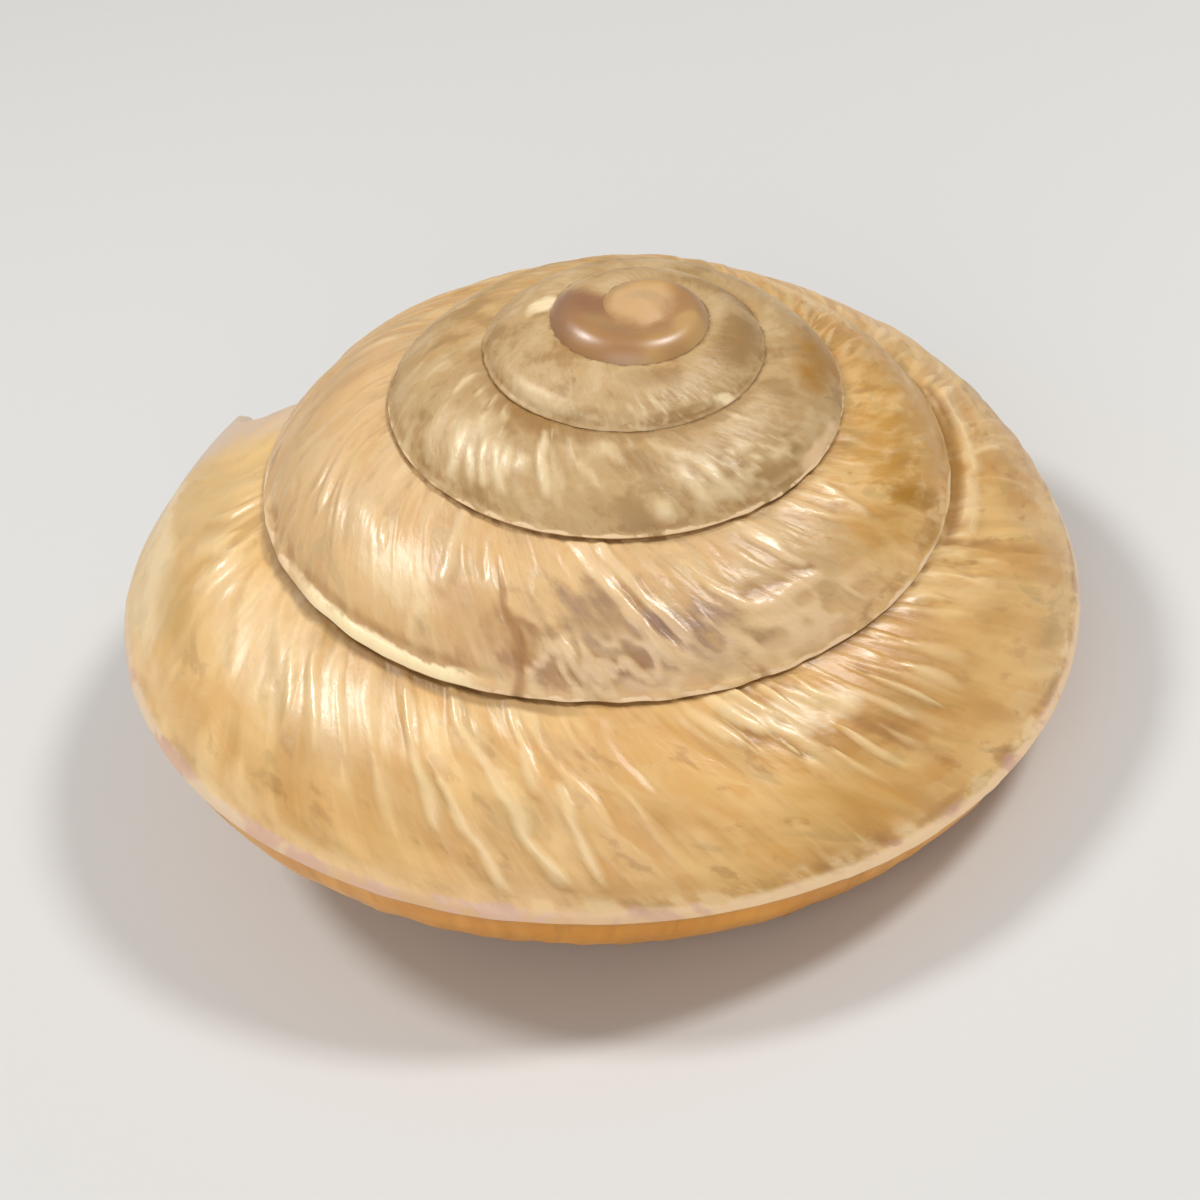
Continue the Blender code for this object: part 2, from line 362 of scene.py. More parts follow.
def relief(line, place, age, scar):
    """Height over the smooth section, in keel radii, and how much is crest, trough and crack."""
    x, y = grain(line, place)
    strength = wrinkled(line, place, age)
    wander = 0.8 * noisy("wander", line, place)
    fold = bar(noisy("folds", line * RIDGES_PER_TURN + wander, place), RIDGE_WIDTH * strength)
    fold = FOLD_SHARE * fold * (1.0 - FOLD_WORN * smooth((age - WORN_START) / WORN_LENGTH))
    count = at(line, FINGER_COUNT) + FINGER_WANDER * wander
    finger = fingers(count, place * at(line, FINGER_PIECES), strength)
    crest = strength * max(fold, finger)
    pause = noisy("pauses", line * PAUSES_PER_TURN + wander, place)
    pause = bar(pause, 0.3 * (0.4 + strength)) - 0.4
    dent = noisy("broad dents", x, y) + 0.5 * noisy("small dents", x, y)
    lump = noisy("lumps", x, y) * (
        1.0 + LUMPY_MORE * smooth((age - LUMPY_START) / LUMPY_LENGTH))
    mend = sum(math.exp(-((age - at_age) / length) ** 2 - ((place - at_place) / width) ** 2)
               for at_age, at_place, length, width in MENDED)
    facet = mend * bar(noisy("facets", x, y), FACET_WIDTH)
    swell = smooth(1.0 - abs(age - SWELL[0]) / SWELL[1])
    swell = swell * smooth(1.0 - abs(place - SWELL[2]) / SWELL[3])
    rough = (SWELL_HEIGHT * swell + PAUSE_HEIGHT * pause + DENT_HEIGHT * dent
             + LUMP_HEIGHT * lump + SCAR_HEIGHT * (facet + scar))
    adult = 1.0 - smooth((age - SMOOTH_START) / SMOOTH_LENGTH)
    beside_cord = smooth((place - 0.86) / 0.08) * smooth((1.25 - place) / 0.2)
    height = (1.0 - 0.7 * beside_cord) * (RIDGE_HEIGHT * crest + adult * rough)
    chips = noisy("long chips", x) + 1.2 * noisy("short chips", x)
    chips = np.clip(0.85 + chips * at(age, CHIPPED), -0.3, 1.6)
    height = smooth(place / 0.04) * (height + chips * cord_at(age, place))
    return height, max(crest, facet, scar), max(strength - crest, mend - facet), max(-scar, 0.0)


print("the tallest ridges are", round(RIDGE_HEIGHT * KEEL_RADIUS / MM, 3), "mm high")

# %% [markdown]
# ## Scars
#
# The shell was broken and mended more than once. A mend shows as a pale ridge, where new
# shell was laid over old shell, and a crack shows as a furrow. Each one is a line through
# a few spots of a given age and place. A few single wrinkles that stand out are drawn in
# the same way. Round the largest mends the surface is uneven.

# %% Lines of the scars
WIDTHS = TURN_LENGTH * ACROSS * 0.77       # widths of a top in one turn of its middle
RIDGE_LINES = (                            # width, and spots of age and place
    (0.055, (1.384, 0.06), (1.408, 0.45)),
    (0.050, (1.356, 0.38), (1.374, 0.60), (1.414, 0.575)),
    (0.060, (1.276, 0.03), (1.308, 0.40), (1.330, 0.78)),
    (0.055, (1.290, 0.03), (1.314, 0.32), (1.340, 0.66)),
    (0.045, (1.456, 0.08), (1.463, 0.45)),
    (0.045, (1.348, 0.58), (1.369, 0.96)),
    (0.045, (1.270, 0.86), (1.281, 0.66), (1.293, 0.88)),
    (0.045, (1.300, 0.92), (1.310, 0.76), (1.322, 0.90)),
    (0.050, (1.224, 0.14), (1.238, 0.40)),
    (0.060, (1.196, 0.05), (1.214, 0.46)),
    (0.040, (0.108, 0.30), (0.102, 0.17), (0.094, 0.27)),
    (0.034, (0.290, 0.42), (0.306, 0.80)),
    (0.034, (0.236, 0.05), (0.276, 0.50), (0.294, 0.81)),
    (0.032, (0.250, 0.46), (0.268, 0.70), (0.277, 0.86)),
    (0.034, (0.264, 0.04), (0.282, 0.38)),
    (0.032, (0.220, 0.10), (0.252, 0.62)),
    (0.040, (0.358, 0.01), (0.370, 0.18)),
    (0.040, (0.508, 0.11), (0.560, 0.13), (0.620, 0.15)),
    (0.075, (2.154, 0.50), (2.170, 0.80)),
    (0.060, (2.173, 0.59), (2.189, 0.79)),
    (0.065, (2.180, 0.48), (2.197, 0.74)),
    (0.070, (2.192, 0.44), (2.212, 0.76)),
    (0.065, (2.203, 0.42), (2.210, 0.58)),
    (0.070, (2.220, 0.14), (2.246, 0.66)),
    (0.110, (2.333, 0.78), (2.335, 0.80)),
    (0.080, (2.350, 0.49), (2.364, 0.76)),
    (0.085, (2.372, 0.51), (2.388, 0.81)),
)
FURROW_LINES = (
    (0.040, (1.225, 0.16), (1.244, 0.42), (1.2625, 0.75), (1.267, 1.0)),
    (0.036, (1.344, 0.55), (1.358, 0.78), (1.374, 1.0)),
    (0.034, (1.372, 0.48), (1.412, 0.49)),
    (0.040, (1.306, 0.30), (1.336, 0.70)),
    (0.030, (0.362, 0.02), (0.374, 0.26)),
    (0.032, (0.502, 0.05), (0.534, 0.56)),
    (0.040, (0.500, 0.04), (0.560, 0.06), (0.620, 0.08)),
)
MENDED = (                                 # age, place, and size in turns and places
    (1.310, 0.78, 0.060, 0.24),
    (1.405, 0.80, 0.040, 0.18),
    (2.400, 0.66, 0.060, 0.30),
    (3.360, 0.80, 0.080, 0.25),
)
SHAKE = 0.035                              # of the outlines, in widths of a top, ...
SHAKE_SPOTS = (14.0, 7.0)                  # ... with so many spots in one unit each way


def lines_at(table, spots):
    """How far each spot lies on one of the lines, from 0 to 1."""
    level = np.zeros(len(spots))
    for width, *chain in table:
        chain = np.array(chain) * (WIDTHS, 1.0)
        for start, end in zip(chain, chain[1:]):
            reach = end - start
            along = np.clip((spots - start) @ reach / (reach @ reach), 0.0, 1.0)
            gap = np.linalg.norm(spots - start - along[:, None] * reach, axis=1)
            level = np.maximum(level, smooth(1.2 - gap / width))
    return level


def scars_at(line, place, age):
    """Ridges as values up to 1, and furrows as values down to -1, with shaken outlines."""
    along, across = SHAKE_SPOTS
    shake = [[noise.noise((TURN_LENGTH * a * along, b * across, seed)) for seed in (20.0, 21.0)]
             for a, b in zip(line.tolist(), place.tolist())]
    spots = np.stack([age * WIDTHS, place], axis=1) + SHAKE * np.array(shake)
    return lines_at(RIDGE_LINES, spots) - lines_at(FURROW_LINES, spots)


# %% [markdown]
# ## Points and faces
#
# One closed mesh holds the outer face, the lip, the hollow behind the mouth and the wall
# that the older turn lends to it. A point is named by its column, its place and its
# layer. At a seam two turns share their points, so a name there is first traced back to
# the turn that owns it. Small turns need fewer columns and rows, and where the count
# changes, the two rows of points are joined like the teeth of a zip.

# %% Names of the points
OUTSIDE, LIP_OUTER, LIP_INNER, INSIDE = range(4)
SEAM_ROWS = (UNDER_KEEL, 1.068, 1.092, INNER_START)
NAVEL_ROWS = (NAVEL_EDGE, 1.967, 1.933, INNER_END)
APEX = ("apex",)
NAVEL_END = ("end of the navel",)
HOLLOW_END = ("end of the hollow",)
LAST_COLUMN = 4 * round((TURNS + 1.0) * PER_TURN / 4)
NAVEL_COLUMNS = 4 * PER_TURN
HOLLOW_COLUMNS = PER_TURN // 2


def owner(column, place, layer):
    """Trace a name at a seam back to the older turn that owns the point."""
    if place == 0.0:
        return owner(column + PER_TURN - TRAIL_COLUMNS, SEAM_ROWS[layer], OUTSIDE)
    if place == NAVEL_SEAM:
        return owner(column + PER_TURN, NAVEL_ROWS[layer], OUTSIDE)
    if place <= UNDER_KEEL and column >= LAST_COLUMN:
        return APEX
    if place >= NAVEL_EDGE and column >= NAVEL_COLUMNS:
        return NAVEL_END
    return column, place, layer


class Skin:
    """The shell's points, by name, and its faces, with the name of each corner."""

    def __init__(self):
        self.numbers = {}
        self.faces = []
        self.corners = []

    def number(self, name):
        key = name if name in (APEX, NAVEL_END, HOLLOW_END) else owner(*name)
        return self.numbers.setdefault(key, len(self.numbers))

    def face(self, *names):
        """Add a face, leaving out corners that fall together."""
        numbers = [self.number(name) for name in names]
        kept = [i for i, n in enumerate(numbers) if n != numbers[i - 1]]
        if len(kept) > 2:
            self.faces.append([numbers[i] for i in kept])
            self.corners.extend(names[i if len(names[i]) == 3 else 0] for i in kept)

    def zip_up(self, right, left):
        """Join two rows of (step, name), which both start and end at the same steps.

        Seen from outside, looking along the steps, the rows are on the right and left.
        """
        i = j = 0
        while i + 1 < len(right) or j + 1 < len(left):
            next_right = right[i + 1][0] if i + 1 < len(right) else math.inf
            next_left = left[j + 1][0] if j + 1 < len(left) else math.inf
            on_right, on_left = next_right <= next_left, next_left <= next_right
            corners = [left[j][1], right[i][1]]
            if on_right:
                corners.append(right[i + 1][1])
            if on_left:
                corners.append(left[j + 1][1])
            self.face(*corners)
            i, j = i + on_right, j + on_left


# %% [markdown]
# The rows of a column lie closer together on the cord. Each turn has its own count of
# rows and its own step between columns, chosen so that a quad stays near square.

# %% Faces of the outer side
TOP_ROWS = (20, 20, 12, 9, 8, 7, 7)          # rows above the cord, for each turn
COLUMN_STEPS = (1, 1, 2, 2, 4, 4, 4)
CORD_ROWS = (0.90, 0.928, 0.95, 0.97, 0.986, KEEL, 1.014, 1.029)
BASE_STEP = 2                                # columns between two points of the base ...
BASE_ROWS = 10
NAVEL_STEP = 4                               # ... and of the navel
NAVEL_PLACES = (NAVEL_EDGE, 2.35, 2.7, NAVEL_SEAM)


def top_places(turn):
    """The rows of a turn's top, from the seam to the last one of the cord."""
    rows = TOP_ROWS[turn]
    return [CORD_ROWS[0] * i / rows for i in range(rows)] + list(CORD_ROWS)


def seam_step(column):
    """Columns between the points that a turn shares with the younger turn over it."""
    younger = max(column - (PER_TURN - TRAIL_COLUMNS), 0)
    return COLUMN_STEPS[younger // PER_TURN]


def base_places():
    """The rows of the base where the hollow may lie behind it, without the last."""
    return [INNER_START + (INNER_END - INNER_START) * i / BASE_ROWS for i in range(BASE_ROWS)]


def named(column, places, layer=OUTSIDE):
    """A row for zip_up: a column's points, in steps of their places."""
    return [(place, (column, place, layer)) for place in places]


def add_top(skin):
    """The top of each turn and its cord, down to the row under the keel."""
    for turn, step in enumerate(COLUMN_STEPS):
        end = min((turn + 1) * PER_TURN, LAST_COLUMN)
        for column in range(turn * PER_TURN, end, step):
            after = column + step
            older = top_places(min(after // PER_TURN, len(TOP_ROWS) - 1))
            skin.zip_up(named(column, top_places(turn)), named(after, older))
            fine = seam_step(column)
            under = [(c, (c, UNDER_KEEL, OUTSIDE)) for c in range(column, after + 1, fine)]
            above = [(c, (c, CORD_ROWS[-1], OUTSIDE)) for c in (column, after)]
            skin.zip_up(under, above)


def add_base(skin):
    """The base of the last turn, and the part of it that the mouth opens on."""
    seam_columns = PER_TURN - TRAIL_COLUMNS
    middle = base_places() + [INNER_END]
    for column in range(0, PER_TURN + HOLLOW_COLUMNS, BASE_STEP):
        after = column + BASE_STEP
        if column < seam_columns:
            above = [(c, (c, UNDER_KEEL, OUTSIDE)) for c in range(column, after + 1)]
            below = [(c, (c, SEAM_ROWS[1], OUTSIDE)) for c in (column, after)]
            skin.zip_up(below, above)
            skin.zip_up(named(column, SEAM_ROWS[1:]), named(after, SEAM_ROWS[1:]))
        skin.zip_up(named(column, middle), named(after, middle))
        if column < PER_TURN:
            rows = NAVEL_ROWS[:0:-1]
            skin.zip_up(named(column, rows), named(after, rows))


def add_navel(skin):
    """The wall of the navel, which winds up inside the coil."""
    for column in range(0, NAVEL_COLUMNS, NAVEL_STEP):
        after = column + NAVEL_STEP
        if column < PER_TURN:
            edge = [(c, (c, NAVEL_ROWS[1], OUTSIDE)) for c in range(column, after + 1, BASE_STEP)]
            inner = [(c, (c, NAVEL_EDGE, OUTSIDE)) for c in (column, after)]
            skin.zip_up(inner, edge)
        skin.zip_up(named(column, NAVEL_PLACES), named(after, NAVEL_PLACES))


skin = Skin()
add_top(skin)
add_base(skin)
add_navel(skin)
print("outer side:", len(skin.numbers), "points,", len(skin.faces), "faces")

# %% [markdown]
# ## The lip and the hollow
#
# Behind the lip the tube is open, and anyone who turns the shell over looks into it. Half
# a turn of hollow is enough, because the tube curves out of sight before that. The inner
# face is the outer one moved in by the wall, with a round corner inside the keel, and two
# rings of points between the two faces round off the lip.

# %% Faces of the lip and the hollow
INNER_STEP = 4                 # columns between two points of the inner face
JOIN = 1.0 / 6.0               # place where the inner face leaves the older turn
NAVEL_JOIN = 2.5               # and where it meets it again
BEND_START = 0.82              # the inner face is rounded at the keel between these
BEND_END = 1.16
INNER_TOP = (0.0, JOIN, 0.3, 0.43, 0.56, 0.7, BEND_START, 0.9, 0.97, 1.04, 1.1, BEND_END)
INNER_BASE = (1.25, 1.35, 1.45, 1.55, 1.65, 1.75, 1.85, 1.93, NAVEL_EDGE, NAVEL_JOIN, NAVEL_SEAM)
INNER_PLACES = INNER_TOP + INNER_BASE


def mouth_places():
    """The rows of the outer face where it ends at the mouth."""
    return (top_places(0) + list(SEAM_ROWS[:-1]) + base_places() + list(NAVEL_ROWS[:0:-1])
            + list(NAVEL_PLACES))


def add_lip(skin):
    """The strips of the lip, from the outer face round to the inner one."""
    rows = [named(0, mouth_places(), layer) for layer in (OUTSIDE, LIP_OUTER, LIP_INNER)]
    rows.append(named(0, INNER_PLACES, INSIDE))
    for outer, inner in zip(rows, rows[1:]):
        skin.zip_up(inner, outer)


def add_hollow(skin):
    """The inner face, with finer steps where it meets the older turn."""
    for column in range(0, HOLLOW_COLUMNS, INNER_STEP):
        after = column + INNER_STEP
        middle = INNER_PLACES[1:-1]
        skin.zip_up(named(after, middle, INSIDE), named(column, middle, INSIDE))
        for end, next_to_it in ((0, 1), (-1, -2)):
            fine = [(c, (c, INNER_PLACES[end], INSIDE))
                    for c in range(column, after + 1, BASE_STEP)]
            coarse = [(c, (c, INNER_PLACES[next_to_it], INSIDE)) for c in (column, after)]
            skin.zip_up(*((fine, coarse) if end == 0 else (coarse, fine)))


def add_hollow_end(skin):
    """Close the hollow, out of sight, with a fan round its middle."""
    end = HOLLOW_COLUMNS
    older = PER_TURN + HOLLOW_COLUMNS
    seam = range(end + PER_TURN - TRAIL_COLUMNS, older + 1, BASE_STEP)
    wall = [(older, place, OUTSIDE) for place in base_places()[1:]]
    loop = [(end, place, INSIDE) for place in INNER_PLACES]
    loop += wall[::-1] + [(c, INNER_START, OUTSIDE) for c in reversed(seam)]
    for a, b in zip(loop, loop[1:] + loop[:1]):
        skin.face(b, a, HOLLOW_END)


add_lip(skin)
add_hollow(skin)
add_hollow_end(skin)
print("with the hollow:", len(skin.numbers), "points,", len(skin.faces), "faces")

# %% [markdown]
# ## Places in space
#
# Now each name becomes a point. The smooth section gives its radius and height, the relief
# lifts it along the section's own normal, and the turn's heading carries it round the axis.

# %% Points of the outer and inner faces
WALL = 0.10 * MM               # least thickness of the wall ...
WALL_GROWTH = 0.028            # ... and what each unit of keel radius adds
LIP_EXTRA = 0.12 * MM
LIP_LENGTH = 0.05              # turns over which the lip thickens
LIP_ROUND = 0.45               # how far the lip's edge bulges forward, in wall thicknesses
NORMAL_STEP = 0.012            # how far apart the points lie that give the normal, in places


def unit(radial, axial):
    """The same direction with length 1."""
    length = np.hypot(radial, axial) + 1e-12
    return radial / length, axial / length


def outward(age, place):
    """The section's normal, from the points just before and after this one."""
    before, here, after = (section(age, np.clip(place + d, 0.0, NAVEL_SEAM))
                           for d in (-NORMAL_STEP, 0.0, NORMAL_STEP))
    first = unit(here[0] - before[0], here[1] - before[1])
    second = unit(after[0] - here[0], after[1] - here[1])
    radial, axial = unit(first[0] + second[0], first[1] + second[1])
    return -axial, radial


def wall_at(age):
    """Thickness of the wall."""
    return WALL + WALL_GROWTH * keel_at(age)[0] + LIP_EXTRA * smooth(1.0 - age / LIP_LENGTH)


def moved_in(age, place):
    """The outer section moved in by the wall, as one array of radii and heights."""
    place = np.clip(place, JOIN, NAVEL_JOIN)
    normal = outward(age, place)
    return np.array([s - n * wall_at(age) for s, n in zip(section(age, place), normal)])


def inner_section(age, place):
    """The inner face: moved in, rounded at the keel and joined to the older turn."""
    start, corner, end = (moved_in(age, np.full_like(place, p))
                          for p in (BEND_START, KEEL, BEND_END))
    along = np.clip((place - BEND_START) / (BEND_END - BEND_START), 0.0, 1.0)
    rest = 1.0 - along
    bend = rest * rest * start + 2.0 * rest * along * corner + along * along * end
    bends = (place > BEND_START) & (place < BEND_END)
    inner = np.where(bends, bend, moved_in(age, place))
    seam = np.array(base_at(age + 1.0, np.full_like(place, INNER_START - KEEL)))
    navel = np.array(base_at(age + 1.0, np.full_like(place, INNER_END - KEEL)))
    to_seam = np.clip(1.0 - place / JOIN, 0.0, 1.0)
    to_navel = np.clip((place - NAVEL_JOIN) / (NAVEL_SEAM - NAVEL_JOIN), 0.0, 1.0)
    return inner + to_seam * (seam - inner) + to_navel * (navel - inner)


def in_space(age, radius, height):
    """Points round the axis, from radius and height in the section."""
    turn = heading(age)
    return np.stack([radius * np.cos(turn), radius * np.sin(turn), height], axis=-1)


def places_of(names):
    """Points for an array of (line, place, layer), and their crest, trough and crack."""
    line, place, layer = names.T
    age = age_of(line, place)
    scar = scars_at(line, place, age)
    lifted = [relief(*spot) for spot in np.stack([line, place, age, scar], axis=1).tolist()]
    lifted = np.array(lifted)
    height = lifted[:, 0] * keel_at(age)[0]
    share = layer / INSIDE
    outer = np.array(section(age, place)) + height * np.array(outward(age, place))
    both = outer * (1.0 - share) + inner_section(age, place) * share
    bulge = LIP_ROUND * wall_at(age) * np.sin(np.pi * share) / KEEL_RADIUS
    return in_space(age - bulge / (2.0 * np.pi), *both), lifted[:, 1:]


names = [name for name in skin.numbers if len(name) == 3]
spots = np.array(names, float) * (1.0 / PER_TURN, 1.0, 1.0)
found, wrinkles = places_of(spots)
points = np.zeros((len(skin.numbers), 3))
points[[skin.numbers[name] for name in names]] = found
points[skin.numbers[APEX]] = (0.0, 0.0, keel_at(TURNS + 1.0)[1])
navel_height = base_at(NAVEL_COLUMNS / PER_TURN, 1.0)[1]
points[skin.numbers[NAVEL_END]] = (0.0, 0.0, navel_height)
rim = [skin.number((HOLLOW_COLUMNS, place, INSIDE)) for place in INNER_PLACES]
points[skin.numbers[HOLLOW_END]] = points[rim].mean(axis=0)
print("coil, before it is laid down, in mm:", (np.ptp(points, axis=0) / MM).round(2))

# %% [markdown]
# ## Laying the shell down
#
# An empty shell tips until its base and the edge of its mouth touch the ground. The solid
# was leaned over in the same way, so the same turn and the frame's own box put the mesh
# exactly where the solid is. Where it touches down it is worn flat, like the solid.

# %% Lean it over and set it in the frame's box
LEAN = math.radians(12.3)
LEAN_HEADING = math.radians(349.0)     # the axis tips this way, from +X
lean_axis = Vector((-math.sin(LEAN_HEADING), math.cos(LEAN_HEADING), 0.0))
lean = Matrix.Rotation(LEAN, 4, lean_axis)
points = points @ np.array(lean.to_3x3()).T
low, high = (np.array(corner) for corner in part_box("shell"))
shift = (low + high) / 2 - (points.min(axis=0) + points.max(axis=0)) / 2
shift[2] = high[2] + TIP_ABOVE * KEEL_RADIUS * math.cos(LEAN) - points[:, 2].max()
points += shift
points[:, 2] = np.maximum(points[:, 2], 0.0)
laid_down = Matrix.Translation(shift) @ lean
print("moved by, in mm:", (shift / MM).round(3))

# %% [markdown]
# ## The mesh
#
# The mesh carries its own map of the shell. Each face corner keeps its age, its place and
# whether it lies inside, so that the finish can put a stain or a band exactly where it
# belongs. It also keeps its flat coordinates on the unrolled shell, for the grain. These
# are stored on corners, not on points, because at a seam two turns share a point.

# %% Build the mesh and its maps
corners = np.array([(c / PER_TURN, place, layer) for c, place, layer in skin.corners])
corner_line, corner_place, corner_layer = corners.T
corner_age = age_of(corner_line, corner_place)
on_older_wall = (corner_place > INNER_START) & (corner_place < INNER_END)
inside = np.maximum(corner_layer / INSIDE, smooth((corner_age - 0.98) / 0.04) * on_older_wall)
unrolled = grain(corner_line, corner_place)
from_axis = section(corner_age, corner_place)[0] / KEEL_RADIUS

mesh = bpy.data.meshes.new("coiled_shell")
mesh.from_pydata(points.tolist(), [], skin.faces)
mesh.shade_smooth()
mesh.set_sharp_from_angle(angle=math.radians(50.0))


def keep(name, kind, domain, values):
    """Store values in the mesh, under a name that the finish can ask for."""
    layer = mesh.attributes.new(name, kind, domain)
    field = "vector" if kind == "FLOAT_VECTOR" else "value"
    layer.data.foreach_set(field, np.ascontiguousarray(values, np.float32).ravel())


keep("zone", "FLOAT_VECTOR", "CORNER", np.stack([corner_age, corner_place, inside], axis=1))
keep("grain", "FLOAT_VECTOR", "CORNER", np.stack([*unrolled, from_axis], axis=1))
point_wrinkles = np.zeros((len(points), 3))
point_wrinkles[[skin.numbers[name] for name in names]] = wrinkles
keep("wrinkle", "FLOAT_VECTOR", "POINT", point_wrinkles)
shell = bpy.data.objects.new("coiled_shell", mesh)
bpy.context.scene.collection.objects.link(shell)
print("triangles:", sum(len(face) - 2 for face in skin.faces))

# %% [markdown]
# ## The bake map
#
# Anyone who reuses the shell bakes its finish to images, and for that each face needs its
# own place on a square. The coil makes this easy. Seen along the axis, the top unrolls
# to one round disc and the base to another, with every part almost true to scale, and the
# few faces inside fill the two corners that the discs leave free.

# %% Lay the faces out flat
TOP_DISC = (0.31, 0.31, 0.295)         # middle and radius, on a square of side 1
BASE_DISC = (0.725, 0.725, 0.262)
HOLLOW_CORNER = (0.02, 0.65, 0.38, 0.33)   # low corner, width and height
WALL_CORNER = (0.65, 0.02, 0.33, 0.17)
LIP_CORNER = (0.65, 0.21, 0.33, 0.17)
NAVEL_SHARE = 0.25                     # radius of the navel, in keel radii


def on_disc(disc, distance):
    """Each corner's spot on a disc, at this distance from the axis."""
    x, y, size = disc
    reach = size * distance / keel_at(0.0)[0]
    turn = heading(corner_age)
    return np.stack([x + reach * np.cos(turn), y + reach * np.sin(turn)], axis=1)


def on_strip(strip, along, up):
    """Each corner's spot on a strip, from 0 to 1 along it and up."""
    x, y, width, height = strip
    return np.stack([x + width * np.clip(along, 0, 1), y + height * np.clip(up, 0, 1)], axis=1)


radius, older_radius = keel_at(corner_age)[0], keel_at(corner_age + 1.0)[0]
over_top = np.clip(corner_place / UNDER_KEEL, 0.0, 1.0)
over_base = np.clip((corner_place - UNDER_KEEL) / (NAVEL_EDGE - UNDER_KEEL), 0.0, 1.0)
up_navel = np.clip(corner_place - NAVEL_EDGE, 0.0, 1.0)
top_map = on_disc(TOP_DISC, older_radius + (radius - older_radius) * over_top)
base_map = on_disc(BASE_DISC, radius * (1.0 - (1.0 - NAVEL_SHARE) * over_base)
                   - NAVEL_SHARE * (radius - older_radius) * up_navel)
hollow_length = HOLLOW_COLUMNS / PER_TURN
hollow_map = on_strip(HOLLOW_CORNER, corner_line / hollow_length, corner_place / NAVEL_SEAM)
wall_map = on_strip(WALL_CORNER, (corner_age - 0.9) / (hollow_length + 0.12), corner_place - KEEL)
lip_map = on_strip(LIP_CORNER, corner_place / NAVEL_SEAM, corner_layer / INSIDE)

sizes = np.array([len(face) for face in skin.faces])
starts = np.concatenate([[0], np.cumsum(sizes)[:-1]])


def of_face(values):
    """The mean over each face, given back to each of its corners."""
    return np.repeat(np.add.reduceat(values, starts) / sizes, sizes)


mean_place, mean_layer, mean_age = map(of_face, (corner_place, corner_layer, corner_age))
outer = mean_layer == OUTSIDE
choices = [mean_layer == INSIDE, mean_layer > OUTSIDE,
           outer & (mean_place < UNDER_KEEL),
           outer & (mean_age > 1.0) & (mean_place > INNER_START) & (mean_place < INNER_END)]
flat = np.select([c[:, None] for c in choices], [hollow_map, lip_map, top_map, wall_map],
                 default=base_map)
layout = mesh.uv_layers.new(name="OFBake")
layout.uv.foreach_set("vector", flat.astype(np.float32).ravel())
print("bake map spans", flat.min(axis=0).round(3), "to", flat.max(axis=0).round(3))

# %% [markdown]
# ## Writing a finish
#
# A finish is a sum of many small effects, and it reads best as arithmetic. This class
# wraps a socket, so that `1 - mask` or `a * b` adds the Math nodes it stands for. Every
# other node comes from one method, which takes its settings and the values of its sockets.

# %% Values and nodes
class Value:
    """A socket of a material; arithmetic on it adds Math nodes."""

    def __init__(self, finish, socket):
        self.finish = finish
        self.socket = socket

    def math(self, operation, first, second=0.0):
        settings = {"operation": operation}
        return self.finish.node("ShaderNodeMath", settings, {0: first, 1: second})

    def __add__(self, other):
        return self.math("ADD", self, other)

    def __sub__(self, other):
        return self.math("SUBTRACT", self, other)

    def __rsub__(self, other):
        return self.math("SUBTRACT", other, self)

    def __mul__(self, other):
        return self.math("MULTIPLY", self, other)

    def __truediv__(self, other):
        return self.math("DIVIDE", self, other)

    def __abs__(self):
        return self.math("ABSOLUTE", self)

    __radd__ = __add__
    __rmul__ = __mul__


class Finish:
    """A material, and the one method that adds a node to it."""

    def __init__(self, name):
        self.material = bpy.data.materials.new(name)
        self.material.use_nodes = True
        self.tree = self.material.node_tree
        self.shader = self.tree.nodes["Principled BSDF"]

    def node(self, kind, settings=None, values=None, out=0):
        item = self.tree.nodes.new(kind)
        for name, setting in (settings or {}).items():
            setattr(item, name, setting)
        self.feed(item, values or {})
        return Value(self, item.outputs[out])

    def feed(self, item, values):
        for name, value in values.items():
            socket = item.inputs[name]
            if isinstance(value, Value):
                self.tree.links.new(value.socket, socket)
            else:
                socket.default_value = value


def tint(red, green, blue):
    """A colour given as on a paint chart, from 0 to 255, in the light's own scale."""
    return (*((part / 255.0) ** 2.2 for part in (red, green, blue)), 1.0)


print("straw is", [round(part, 2) for part in tint(220, 178, 114)])

# %% [markdown]
# ## Tools for the finish
#
# A few short tools say most of what a finish needs. `ease` turns a value into a mask,
# `paint` lays one colour over another where a mask says so, and `streaks` is noise that
# can be stretched along the growth lines. `patch` is a spot at a given age and place, and
# its outline follows the growth lines and is broken up by noise. On the worn turns that
# noise has no direction, because the growth lines are rubbed away there.

# %% Masks and paint
WEAR_SIZE = 0.8 * MM           # of the marks on the worn turns
horn = Finish("worn horn shell")


def attribute(name):
    """A map that was kept in the mesh."""
    return horn.node("ShaderNodeAttribute", {"attribute_name": name}, out="Vector")


def parts(vector):
    """The three parts of a vector, one by one."""
    return [horn.node("ShaderNodeSeparateXYZ", None, {0: vector}, out=axis) for axis in "XYZ"]


flat_grain = attribute("grain")
age, place, within = parts(attribute("zone"))
crest, trough, crack = parts(attribute("wrinkle"))
along_turn, _, from_the_axis = parts(flat_grain)
own_place = horn.node("ShaderNodeTexCoord", out="Object")


def vector_math(operation, first, second):
    values = {0: first, 1: second}
    return horn.node("ShaderNodeVectorMath", {"operation": operation}, values, out="Vector")


def ease(value, start, end):
    """A mask that eases from 0 at start to 1 at end, whichever of them is greater."""
    low, high, to_low, to_high = (start, end, 0.0, 1.0) if start < end else (end, start, 1.0, 0.0)
    values = {"Value": value, "From Min": low, "From Max": high,
              "To Min": to_low, "To Max": to_high}
    return horn.node("ShaderNodeMapRange", {"interpolation_type": "SMOOTHSTEP"}, values)


def span(value, start, full, fade, end):
    """A mask for the values from start to end, which is full from full to fade."""
    return ease(value, start, full) * ease(value, end, fade)


